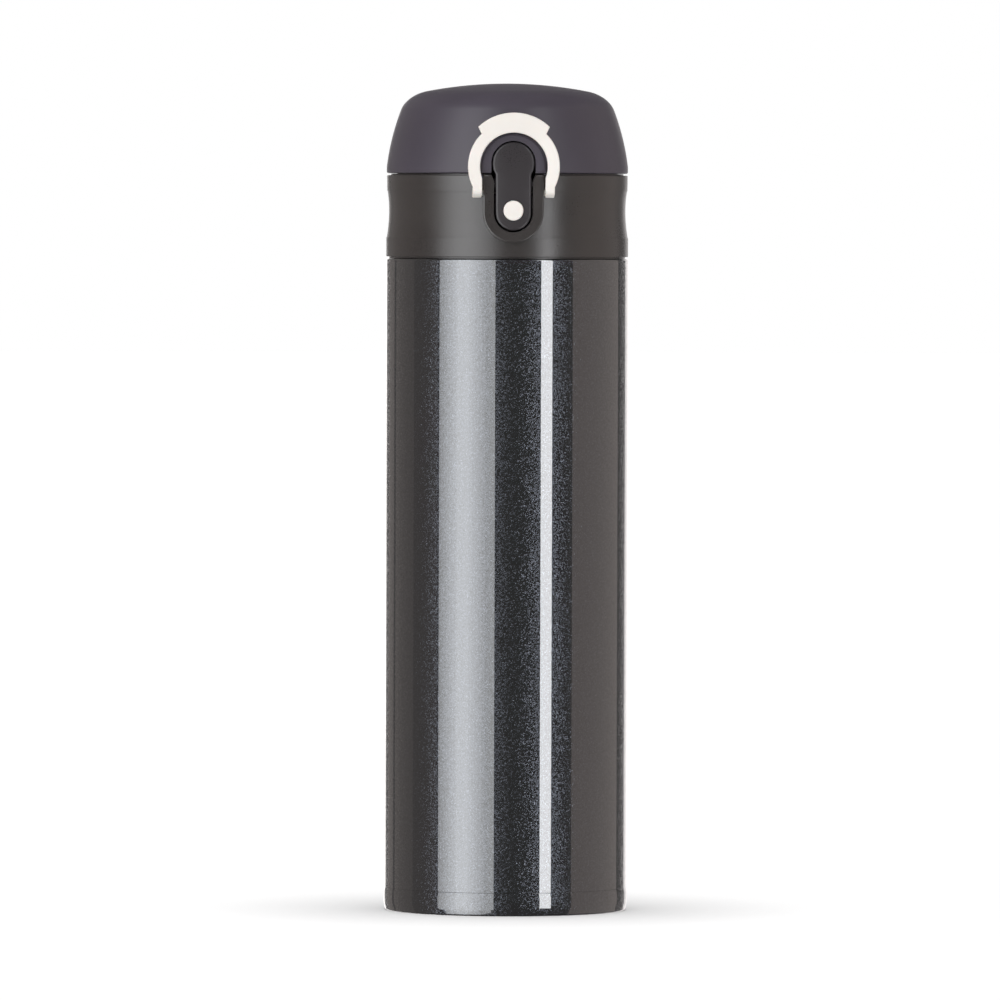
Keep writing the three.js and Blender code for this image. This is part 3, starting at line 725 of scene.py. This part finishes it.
def make_vessel():
    low = box_mm("inner_bottom")[0]
    high = box_mm("inner_neck")[1]
    outer = box_mm("inner_wall")[1].x
    wall = 0.4
    neck = 22.6
    profile = filleted(
        [
            (0, low.z),
            (outer, low.z, 7),
            (outer, 165.5, 5),
            (neck, 172.4, 5),
            (neck, high.z, 0.1),
            (MOUTH_R, high.z, 0.1),
            (MOUTH_R, 172.1, 5.6),
            (outer - wall, 165.2, 5),
            (outer - wall, low.z + wall, 6.6),
            (0, low.z + wall),
        ],
        steps=8,
    )
    vessel = turned("inner_bottle", profile, sides=120, longest=12)
    return finished(vessel, "bottle", "bare_steel", STEEL, "inner_bottom", "inner_wall", "inner_neck")


# ---- Cap unit ----


def make_mouth_seal():
    """The stopper's gasket: two soft fins on a ring."""
    low, high = box_mm("stopper_gasket")
    lip = high.x
    inner = 19.7
    profile = filleted(
        [
            (inner, low.z, 0.1),
            (lip - 0.7, low.z, 0.2),
            (lip, low.z + 1.2, 0.25),
            (lip - 0.9, low.z + 2, 0.3),
            (lip, low.z + 3.2, 0.25),
            (lip - 0.8, low.z + 4, 0.3),
            (lip - 0.5, high.z, 0.2),
            (inner, high.z, 0.1),
        ],
        closed=True,
        steps=4,
    )
    seal = turned("mouth_seal", profile, closed=True)
    return finished(seal, "stopper_seal", "silicone", SILICONE, "stopper_gasket")


def make_stopper():
    """The threaded skirt, the deck and the short tube that carries the mouth seal."""
    skirt_inner = 26
    skirt = 27.6
    skirt_bottom = 176.6
    profile = filleted(
        [
            (0, DECK_BOTTOM),
            (16.6, DECK_BOTTOM, 0.5),
            (16.6, 183.4, 0.2),
            (20.8, 183.4, 0.3),
            (20.8, 184.2, 0.15),
            (19.4, 184.2, 0.1),
            (19.4, DECK_BOTTOM, 0.2),
            (skirt_inner, DECK_BOTTOM, 0.2),
            (skirt_inner, skirt_bottom, 0.3),
            (skirt, skirt_bottom, 0.3),
            (skirt, DECK_TOP - 1.4, 0.2),
            (skirt + 1, DECK_TOP - 1.4, 0.2),
            (skirt + 1, DECK_TOP, 0.3),
            (0, DECK_TOP),
        ],
        steps=3,
    )
    stopper = turned("stopper", profile, longest=2.5)
    ridge = coil(
        "skirt_ridge", skirt_inner, 1, THREAD_START - THREAD_DROP, THREAD_LEAD, THREAD_TURNS, 72, taper=0.08
    )
    hole_r = 10.95
    cut = [(0, DECK_BOTTOM - 1), (hole_r, DECK_BOTTOM - 1), (hole_r, DECK_TOP + 1), (0, DECK_TOP + 1)]
    hole = turned("deck_hole", cut, sides=SMALL_ROUND, centre=(0, SPOUT_Y))
    return finished(carved(joined(stopper, ridge), hole), "cap_unit", "inner_plastic", INNER, "stopper_body")


def make_spout():
    bore = 9
    flange = spout_high.x
    flange_z = DECK_TOP + 1.3
    profile = filleted(
        [
            (bore, spout_low.z, 0.3),
            (10.6, spout_low.z, 0.2),
            (10.6, flange_z, 0.1),
            (flange, flange_z, 0.2),
            (flange, flange_z + 1.3, 0.4),
            (11.4, flange_z + 1.9, 1.2),
            (11, SPOUT_TOP, 0.9),
            (bore, SPOUT_TOP, 0.9),
        ],
        closed=True,
    )
    spout = turned("drinking_spout", profile, closed=True, sides=SMALL_ROUND, centre=(0, SPOUT_Y), longest=3)
    return finished(spout, "cap_unit", "inner_plastic", INNER, "spout")


def make_spout_seal():
    low, high = box_mm("spout_gasket")
    outer = high.x
    profile = filleted(
        [(11.2, low.z, 0.2), (outer, low.z, 0.3), (outer, high.z, 0.3), (11.2, high.z, 0.2)], closed=True
    )
    seal = turned("spout_seal", profile, closed=True, sides=SMALL_ROUND, centre=(0, SPOUT_Y))
    return finished(seal, "cap_unit", "silicone", SILICONE, "spout_gasket")


def collar_profile():
    """A straight foot, a waist between two faint edge lines and a straight head."""
    inner = 30.4
    lip_z = SHELL_SHOULDER + 0.04
    lip = [(29, lip_z, 0.1), (31.7, lip_z, 0.05), (31.7, COLLAR_BOTTOM, 0.05)]
    foot = filleted([(29, 176), *lip, (SHELL_R, COLLAR_BOTTOM, 0.2), (32.5, 180.5)])
    waist = bezier([(32.36, 180.7), (31.25, 187.4), (32.14, 193.0)], 16)
    bead = [(31.2, COLLAR_TOP, 0.05), (31.2, LID_BOTTOM - 0.12, 0.05), (inner, LID_BOTTOM - 0.12, 0.1)]
    head = filleted([(32.28, 193.25), (32.34, COLLAR_TOP, 0.3), *bead, (inner, 178), (29, 177)])
    return foot + waist + head


def collar_boss_outline():
    half = 8.05
    bottom = arc(0, 187.45, half, pi, 2 * pi, 32)
    return [Vector((half, COLLAR_TOP)), Vector((-half, COLLAR_TOP))] + bottom


def slot_outline():
    """The slot that the button's neck rocks in. It opens out towards the button's head at the top."""
    half = 5.2
    mouth = half + 1.6
    neck_z = COLLAR_TOP - 1.6
    mouth_z = COLLAR_TOP + 2
    bottom = arc(0, FOOT_Z, half, pi, 2 * pi, 32)
    left = [Vector((-mouth, mouth_z)), Vector((-half, neck_z))]
    right = [Vector((half, neck_z)), Vector((mouth, mouth_z))]
    return right + left + bottom


def rim_chamfer(name, outline):
    """A tool that chamfers the rim of a cut through a boss."""
    wide = inset(outline, -RIM_CHAMFER)
    layers = [(wide, BOSS_FRONT - 1.05), (wide, BOSS_FRONT - 0.05), (outline, BOSS_FRONT + RIM_CHAMFER)]
    return stacked(name, layers, lambda across, up, depth: (across, depth, up))


def make_collar():
    start, end = COLLAR_KNUCKLES
    collar = turned("collar", collar_profile(), closed=True, sides=FINE_ROUND, longest=1.2)
    ledge = turned("ledge", [(29, 188.6), (31, 188.6), (31, 190), (29, 190)], closed=True)
    boss = shouldered("boss", collar_boss_outline(), BOSS_FRONT, COLLAR_BOSS_BACK, 0.34, 0.22)
    relief = rod("relief", KNUCKLE_R + KNUCKLE_GAP, -start + 0.1, start - 0.1, HINGE_Y, HINGE_Z)
    collar = carved(joined(collar, ledge, boss), relief)
    brackets = pair(
        lambda name, a, b: block(name, (a, 30.8, 190.5), (b, HINGE_Y + 0.6, HINGE_Z)), (start, end)
    )
    knuckles = pair(lambda name, a, b: rod(name, KNUCKLE_R, a, b, HINGE_Y, HINGE_Z, 0.25), (start, end))
    collar = joined(collar, *brackets, *knuckles)
    pin_reach = 7.1
    holes = pair(lambda name, a, b: rod(name, PIN_HOLE_R, a, b, *RING_PIVOT, sides=HOLE_SIDES), (6.9, 9.5))
    rim = tidy(slot_outline(), True)
    return finished(
        carved(
            collar,
            plate("slot", rim, BOSS_FRONT - 2, SLOT_BACK),
            rim_chamfer("slot_chamfer", rim),
            rod("pivot_hole", PIN_HOLE_R, -pin_reach, pin_reach, *BUTTON_PIVOT, sides=HOLE_SIDES),
            *holes,
            rod("pin_hole", PIN_HOLE_R, -end + 0.6, end - 0.6, HINGE_Y, HINGE_Z, sides=HOLE_SIDES),
        ),
        "cap_unit",
        "collar_plastic",
        COLLAR,
        "collar_shell",
    )


def make_pins():
    half = box_mm("hinge_pin")[1].x
    pin = rod("lid_hinge_pin", PIN_R, -half, half, HINGE_Y, HINGE_Z, 0.2, 32)
    finished(pin, "cap_unit", "bare_steel", STEEL, "hinge_pin")
    half = box_mm("button_pivot_pin")[1].x
    pin = rod("button_pin", PIN_R, -half, half, *BUTTON_PIVOT, 0.2, 32)
    finished(pin, "cap_unit", "bare_steel", STEEL, "button_pivot_pin")


def make_springs():
    spring = coil(
        "torsion_spring", 1.6, 0.3, -3.6, 1.2, 6, 36, 10,
        place=lambda v: Vector((v.z, HINGE_Y + v.x, HINGE_Z + v.y)),
    )
    finished(spring, "cap_unit", "spring_steel", SPRING, "lid_spring", weighted=False)
    back = BUTTON_FRONT + 2.6
    spring = coil(
        "return_spring", 1.6, 0.22, 0, 0.725, 4, 32, 10,
        place=lambda v: Vector((v.x, back + v.z, 186.6 - v.y)),
    )
    finished(spring, "cap_unit", "spring_steel", SPRING, "button_spring", weighted=False)


# ---- Button ----


def button_outline():
    head_r = 5.6
    neck_r = 4.7
    shoulder = acos(neck_r / head_r)
    foot = arc(0, FOOT_Z, neck_r, pi, 2 * pi, 32)
    head = arc(0, HEAD_Z, head_r, -shoulder, pi + shoulder, 44)
    return foot + head


def dot_outline(radius):
    return arc(0, DOT_Z, radius, 0, 2 * pi, 64)


def make_button():
    back = BUTTON_FRONT + 2
    outline = tidy(button_outline(), True)
    body = shouldered("press_button", outline, BUTTON_FRONT, back, 0.5, 0.3, 4, 0.2)
    barrel = rod("barrel", 2, -5, 5, *BUTTON_PIVOT, 0.15)
    side = [(back - 0.5, 201.2), (back + 0.6, 202.3), (-29.9, 202.3, 0.15), (-29.9, 203.6, 0.2),
            (-30.7, 204.6, 0.3), (back - 0.5, 204.6)]
    hook = bar("hook", filleted(side, closed=True, steps=3), -2.8, 2.8, 0.15)
    pocket = plate("pocket", dot_outline(DOT_R + 0.12), BUTTON_FRONT - 1, dot_high.y + 0.1)
    pin_hole = rod("pin_hole", PIN_HOLE_R, -6, 6, *BUTTON_PIVOT, sides=HOLE_SIDES)
    piece = carved(joined(body, barrel, hook), pocket, pin_hole)
    return finished(piece, "button", "button_plastic", BUTTON, "release_button")


def make_dot():
    piece = plate("target_dot", dot_outline(DOT_R), dot_low.y, dot_high.y, front_round=0.35)
    return finished(piece, "button", "cream_plastic", CREAM, "button_dot")


# ---- Safety ring ----


def ring_outline():
    leg_in, leg_out = RING_LEG
    outer_r, inner_r = 12.2, 9
    leg_bottom = RING_PIVOT[1] + 1
    centre = RING_CENTRE_Z
    tab_r, tab_z = 13.8, ring_high.z - 13.8
    tab_angle = acos(9.5 / tab_r)
    notch = acos(8.6 / outer_r)
    leg_join = -acos(leg_out / outer_r)
    inner_end = acos(leg_in / inner_r)
    outline = [Vector((leg_in, leg_bottom)), Vector((leg_out, leg_bottom))]
    outline += arc(0, centre, outer_r, leg_join, notch, 24)
    outline += arc(0, tab_z, tab_r, tab_angle, pi - tab_angle, 28)
    outline += arc(0, centre, outer_r, pi - notch, pi - leg_join, 24)
    outline += [Vector((-leg_out, leg_bottom)), Vector((-leg_in, leg_bottom))]
    outline += arc(0, centre, inner_r, pi + inner_end, -inner_end, 48)
    return outline


def make_ring():
    front, back = ring_low.y, -34.6
    pivot_y, pivot_z = RING_PIVOT
    body = plate("safety_ring_band", ring_outline(), front, back, front_round=0.4, back_round=0.3)
    lug_top = pivot_z + 3.4
    lug = [Vector((front, lug_top)), Vector((front, pivot_z + 0.4)), Vector((pivot_y - 3, pivot_z - 0.5))]
    lug += arc(pivot_y, pivot_z, 1.3, 1.3 * pi, 2.35 * pi, 16)
    lug += [Vector((back, lug_top))]
    lugs = pair(lambda name, a, b: bar(name, lug, a, b, 0.3), RING_LEG)
    studs = pair(lambda name, a, b: rod(name, PIN_R, a, b, pivot_y, pivot_z, 0.1, HOLE_SIDES), (7.2, 9.3))
    piece = joined(body, *lugs, *studs)
    return finished(piece, "safety_ring", "cream_plastic", CREAM, "lock_ring")


# ---- Lid ----


def dome(crown, crown_end, corner_end, bulge, side_end, steps=14):
    """A shallow crown, a round corner and a gently bulging side."""
    top = bezier([(0, crown), (crown_end[0] / 2, crown), crown_end], steps)
    ease = (crown_end[0] + 3.5, crown_end[1] - 0.65)
    lead = (corner_end[0] - 0.85, corner_end[1] + 2.2)
    corner = bezier([crown_end, ease, lead, corner_end], steps)
    side = bezier([corner_end, bulge, side_end], steps)
    return top + corner + side


def lid_boss_outline():
    radius = 8.6
    top = arc(0, RING_CENTRE_Z, radius, 0, pi, 40)
    return [Vector((-radius, LID_BOTTOM)), Vector((radius, LID_BOTTOM))] + top


def head_window_outline():
    radius = 5.9
    top = arc(0, HEAD_Z, radius, 0, pi, 40)
    return [Vector((-radius, LID_BOTTOM - 2)), Vector((radius, LID_BOTTOM - 2))] + top


def make_lid():
    outside = dome(LID_TOP, (21.5, 219.95), (28.6, 214.95), (31.45, 207.5), (32.4, 199.6))
    outside += filleted([(32.4, 199.5), (32.4, LID_BOTTOM, 0.45), (0, LID_BOTTOM)])[1:]
    lid = turned("lid", outside, sides=FINE_ROUND, longest=1.4)
    boss = shouldered("boss", lid_boss_outline(), BOSS_FRONT, LID_BOSS_BACK, 0.45, 0.28)
    hollow = dome(219.9, (20.3, 218.1), (26.7, 213.9), (29.55, 207.1), (30.6, 199.6), 8)
    hollow += [Vector((30.6, LID_BOTTOM - 1)), Vector((0, LID_BOTTOM - 1))]
    window = tidy(head_window_outline(), True)
    start, end = COLLAR_KNUCKLES
    relief = pair(
        lambda name, a, b: rod(name, KNUCKLE_R + KNUCKLE_GAP, a, b, HINGE_Y, HINGE_Z),
        (start - 0.2, end + 0.3),
    )
    lid = carved(
        joined(lid, boss),
        turned("hollow", hollow, sides=ROUND),
        plate("window", window, BOSS_FRONT - 2, LID_BOSS_BACK),
        rim_chamfer("window_chamfer", window),
        *relief,
    )
    half = LID_KNUCKLE_HALF
    knuckle = rod("knuckle", KNUCKLE_R, -half, half, HINGE_Y, HINGE_Z, 0.25)
    web_low = (-half + 0.1, 31.1, HINGE_Z + 0.1)
    web_high = (half - 0.1, HINGE_Y, HINGE_Z + KNUCKLE_R - 0.02)
    web = block("web", web_low, web_high, 0.05)
    chamber = 4.2
    lid = carved(
        joined(lid, knuckle, web),
        rod("pin_hole", PIN_HOLE_R, -half - 1, half + 1, HINGE_Y, HINGE_Z, sides=HOLE_SIDES),
        rod("chamber", 2.2, -chamber, chamber, HINGE_Y, HINGE_Z),
        block("chamber_slot", (-chamber, 30, HINGE_Z - KNUCKLE_R), (chamber, HINGE_Y - 0.5, HINGE_Z), 0.05),
    )
    return finished(lid, "lid", "lid_plastic", LID, "lid_shell")


def make_liner():
    """The lid's inner shell. The sill of its front window is the catch for the button's hook."""
    low, high = box_mm("lid_liner")
    ceiling = high.z - 1.3
    profile = filleted(
        [
            (0, ceiling),
            (24, ceiling, 4),
            (27, 207, 6),
            (28.2, 202.8, 3),
            (28.2, low.z, 0.3),
            (29.6, low.z, 0.3),
            (29.6, 202.6, 3),
            (28.4, 207.6, 6),
            (25, high.z, 4.4),
            (0, high.z),
        ],
        steps=6,
    )
    liner = turned("inner_lid", profile, longest=2)
    window = block("window", (-3.5, -31, 201.8), (3.5, -25, 206.2), 0.3)
    notch = block("notch", (-5.4, -31, low.z - 1), (5.4, -25, LID_BOTTOM + 0.6), 0.3)
    return finished(carved(liner, window, notch), "lid", "inner_plastic", INNER, "lid_liner")


def make_lid_seal():
    low, high = box_mm("lid_gasket")
    face = SPOUT_TOP + 0.3
    seal_r = high.x
    profile = filleted(
        [
            (0, low.z),
            (6.8, low.z, 0.8),
            (7.7, face, 0.3),
            (seal_r, face, 0.5),
            (seal_r, high.z, 0.3),
            (8.9, high.z, 0.2),
            (8.9, face + 0.9, 0.2),
            (0, face + 0.9),
        ]
    )
    seal = turned("lid_seal", profile, sides=SMALL_ROUND, centre=(0, SPOUT_Y))
    finished(seal, "lid", "silicone", SILICONE, "lid_gasket")
    low, high = box_mm("gasket_holder")
    holder_r = 8.6
    profile = filleted(
        [
            (0, low.z),
            (holder_r, low.z, 0.3),
            (holder_r, SPOUT_TOP + 3.3, 0.1),
            (seal_r, SPOUT_TOP + 3.3, 0.3),
            (seal_r, high.z, 0.3),
            (0, high.z),
        ]
    )
    holder = turned("seal_holder", profile, sides=SMALL_ROUND, centre=(0, SPOUT_Y))
    finished(holder, "lid", "inner_plastic", INNER, "gasket_holder")


for build in (
    make_body_shell,
    make_bottom_cup,
    make_bottom_disc,
    make_seal_plug,
    make_getter,
    make_foil,
    make_neck,
    make_vessel,
    make_mouth_seal,
    make_stopper,
    make_spout,
    make_spout_seal,
    make_collar,
    make_pins,
    make_springs,
    make_button,
    make_dot,
    make_ring,
    make_lid,
    make_liner,
    make_lid_seal,
):
    build()


# ---- Stage, light and camera ----

CAMERA_AZIMUTH = radians(-2.75)
CAMERA_DISTANCE = 3.0
CAMERA_HEIGHT = 0.187
AIM_ACROSS = -0.00171
AIM_HEIGHT = 0.1101
VIEW_WIDTH = 0.2688  # metres that the picture spans at the flask
ROLL = radians(0.18)


def make_floor():
    size = 12
    corners = [(x * size / MM, y * size / MM, 0) for x, y in ((-1, -1), (1, -1), (1, 1), (-1, 1))]
    floor = make_object("floor", corners, [[0, 1, 2, 3]])
    surface = Surface("floor_card", 0.8)
    tone = surface.colours(surface.noise(0.002, 2), (0.3, (0.84, 0.84, 0.84)), (0.7, (0.87, 0.87, 0.87)))
    surface.link(tone, "Base Color")
    surface.set("Specular IOR Level", 0.0)
    surface.set("Emission Color", (1, 1, 1, 1))
    surface.set("Emission Strength", 0.06)
    floor.data.materials.append(surface.material)
    floor.visible_glossy = False
    floor.visible_shadow = False
    THE_FLOOR.objects.link(floor)
    exclude(floor, NOT_THE_FLOOR)
    exclude(floor, NOT_THE_FOOT)


def make_world():
    """White behind the flask as the camera sees it, and a dimmer room as the flask sees it."""
    world = bpy.data.worlds.new("studio")
    bpy.context.scene.world = world
    world.use_nodes = True
    nodes = world.node_tree.nodes
    links = world.node_tree.links
    background = nodes["Background"]
    background.inputs["Strength"].default_value = 1.0
    path = nodes.new("ShaderNodeLightPath")
    mix = nodes.new("ShaderNodeMix")
    mix.data_type = "RGBA"
    mix.inputs["A"].default_value = (0.125, 0.12, 0.12, 1)
    mix.inputs["B"].default_value = (1, 1, 1, 1)
    links.new(path.outputs["Is Camera Ray"], mix.inputs["Factor"])
    links.new(mix.outputs["Result"], background.inputs["Color"])


def softbox(name, azimuth, spread, distance, low, high, radiance, tint, receivers=NOT_THE_FLOOR):
    """A panel light that faces the flask. Azimuth is measured from the camera's side, to its right."""
    width = 2 * distance * tan(radians(spread) / 2)
    height = high - low
    angle = CAMERA_AZIMUTH + radians(azimuth)
    light = bpy.data.lights.new(name, "AREA")
    light.shape = "RECTANGLE"
    light.size = width
    light.size_y = height
    light.energy = radiance * pi * width * height
    light.color = tint
    panel = bpy.data.objects.new(name, light)
    bpy.context.scene.collection.objects.link(panel)
    panel.location = (distance * sin(angle), -distance * cos(angle), (low + high) / 2)
    panel.rotation_euler = Vector((-sin(angle), cos(angle), 0)).to_track_quat("-Z", "Y").to_euler()
    panel.visible_camera = False
    panel.light_linking.receiver_collection = receivers


def make_lights():
    """A wide soft light and a narrow one in front, dim warm cards at the sides and two panels behind."""
    cool = (0.96, 0.98, 1.0)
    white = (0.97, 0.98, 1.0)
    warm = (1.0, 0.88, 0.82)
    wide, narrow = (-38.3, 55.2), (37.4, 11.0)  # azimuth and spread
    away, top, bottom = 0.6, 0.85, -0.35
    wide_end, foot_end, narrow_end, low_end = -0.2, -0.27, -0.12, -0.45
    back_top = 0.32  # keeps the lid's crown dark
    softbox("wide_box", *wide, away, wide_end, top, 1.58, cool)
    softbox("wide_foot", -36.5, 46, away, foot_end, wide_end, 1.58, cool)
    softbox("wide_fill", -28.75, 36, 0.595, foot_end, top, 0.24, cool)
    for layer in range(6):
        core = (-41.7, 44 - 6.2 * layer, 0.59 - 0.01 * layer)
        softbox(f"wide_core_{layer}", *core, -0.22 - 0.012 * layer, top, 0.25, cool)
    softbox("narrow_strip", *narrow, away, narrow_end, top, 5.2, white)
    softbox("wide_low", *wide, away, low_end, foot_end, 1.9, cool, NOT_THE_FOOT)
    softbox("narrow_low", *narrow, away, low_end, narrow_end, 5.2, white, NOT_THE_FOOT)
    softbox("right_card", 97.4, 66.4, away, bottom, top, 0.385, warm)
    softbox("left_card", -113.4, 31.6, away, bottom, top, 0.175, warm)
    softbox("left_fill", -82.7, 30, away, bottom, top, 0.1, warm)
    softbox("left_sliver", -141.2, 15.8, away, bottom, top, 0.19, warm)
    softbox("back_right", 166.2, 27.5, away, bottom, back_top, 1.0, (1.0, 0.96, 0.95))
    softbox("back_left", 189.5, 19, away, bottom, back_top, 1.4, (1.0, 0.97, 0.95))
    ceiling("ceiling", 2.35, 70, NOT_THE_FLOOR)
    ceiling("floor_lamp", 3.15, 31, THE_FLOOR)


def ceiling(name, strength, spread, receivers):
    """Soft light from straight above, for some of the objects only."""
    lamp = bpy.data.lights.new(name, "SUN")
    lamp.energy = strength
    lamp.angle = radians(spread)
    hung = bpy.data.objects.new(name, lamp)
    bpy.context.scene.collection.objects.link(hung)
    hung.visible_glossy = False
    hung.light_linking.receiver_collection = receivers


def make_camera():
    camera = bpy.data.cameras.new("camera")
    camera.sensor_width = 36
    camera.lens = camera.sensor_width * CAMERA_DISTANCE / VIEW_WIDTH
    camera.clip_end = 100
    rig = bpy.data.objects.new("camera", camera)
    bpy.context.scene.collection.objects.link(rig)
    bpy.context.scene.camera = rig
    side = Vector((cos(CAMERA_AZIMUTH), sin(CAMERA_AZIMUTH), 0))
    aim = Vector((0, 0, AIM_HEIGHT)) + side * AIM_ACROSS
    rig.location = aim + Vector((sin(CAMERA_AZIMUTH), -cos(CAMERA_AZIMUTH), 0)) * CAMERA_DISTANCE
    rig.location.z = CAMERA_HEIGHT
    look = (aim - rig.location).to_track_quat("-Z", "Y")
    rig.rotation_euler = (look.to_matrix() @ Matrix.Rotation(ROLL, 3, "Z")).to_euler()


make_floor()
make_world()
make_lights()
make_camera()
bpy.context.scene.view_settings.view_transform = "Standard"
